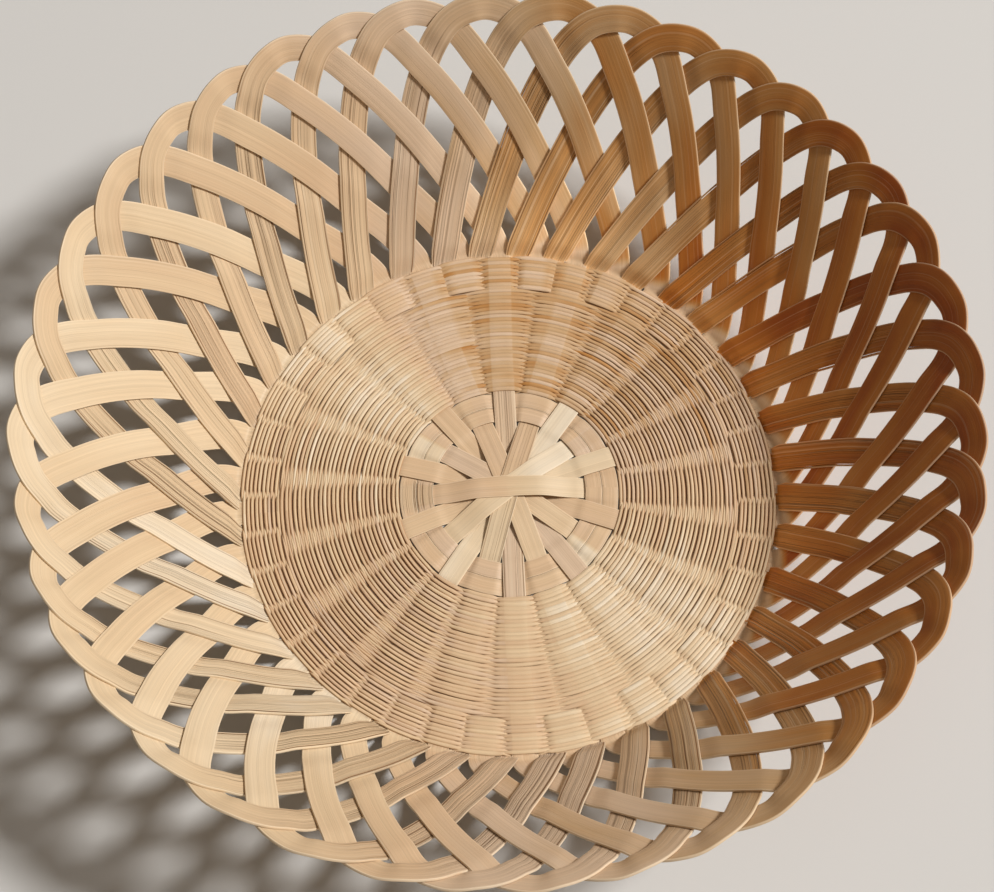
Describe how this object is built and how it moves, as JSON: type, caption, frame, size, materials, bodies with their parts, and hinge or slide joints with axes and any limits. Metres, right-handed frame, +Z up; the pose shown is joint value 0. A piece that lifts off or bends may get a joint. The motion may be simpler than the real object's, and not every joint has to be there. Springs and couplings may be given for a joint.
{
  "type": "open-work bamboo basket",
  "caption": "Shallow round bamboo zaru basket: a flat woven base and a flared wall of crossing flat splints that loop over at the rim.",
  "frame": {"origin": "on the floor under the centre of the woven base, with the basket standing flat", "axes": "+Z up along the basket's axis; +X and +Y along the floor, with the topmost hub splint 2.75 degrees from +X"},
  "size_m": [0.3006, 0.3006, 0.0723],
  "materials": {
    "splint_bamboo": "satin",
    "woven_bamboo": "matte"
  },
  "bodies": {
    "root": {"long_splint_01": "splint_bamboo", "long_splint_02": "splint_bamboo", "long_splint_03": "splint_bamboo", "long_splint_04": "splint_bamboo", "long_splint_05": "splint_bamboo", "long_splint_06": "splint_bamboo", "long_splint_07": "splint_bamboo", "long_splint_08": "splint_bamboo", "long_splint_09": "splint_bamboo", "long_splint_10": "splint_bamboo", "short_splint_01": "splint_bamboo", "short_splint_02": "splint_bamboo", "short_splint_03": "splint_bamboo", "short_splint_04": "splint_bamboo", "short_splint_05": "splint_bamboo", "short_splint_06": "splint_bamboo", "short_splint_07": "splint_bamboo", "short_splint_08": "splint_bamboo", "short_splint_09": "splint_bamboo", "short_splint_10": "splint_bamboo", "short_splint_11": "splint_bamboo", "short_splint_12": "splint_bamboo", "short_splint_13": "splint_bamboo", "short_splint_14": "splint_bamboo", "short_splint_15": "splint_bamboo", "short_splint_16": "splint_bamboo", "short_splint_17": "splint_bamboo", "short_splint_18": "splint_bamboo", "short_splint_19": "splint_bamboo", "short_splint_20": "splint_bamboo", "hub_binder_inner": "splint_bamboo", "hub_binder_outer": "splint_bamboo", "woven_field": "woven_bamboo", "woven_band": "woven_bamboo"}
  },
  "joints": []
}
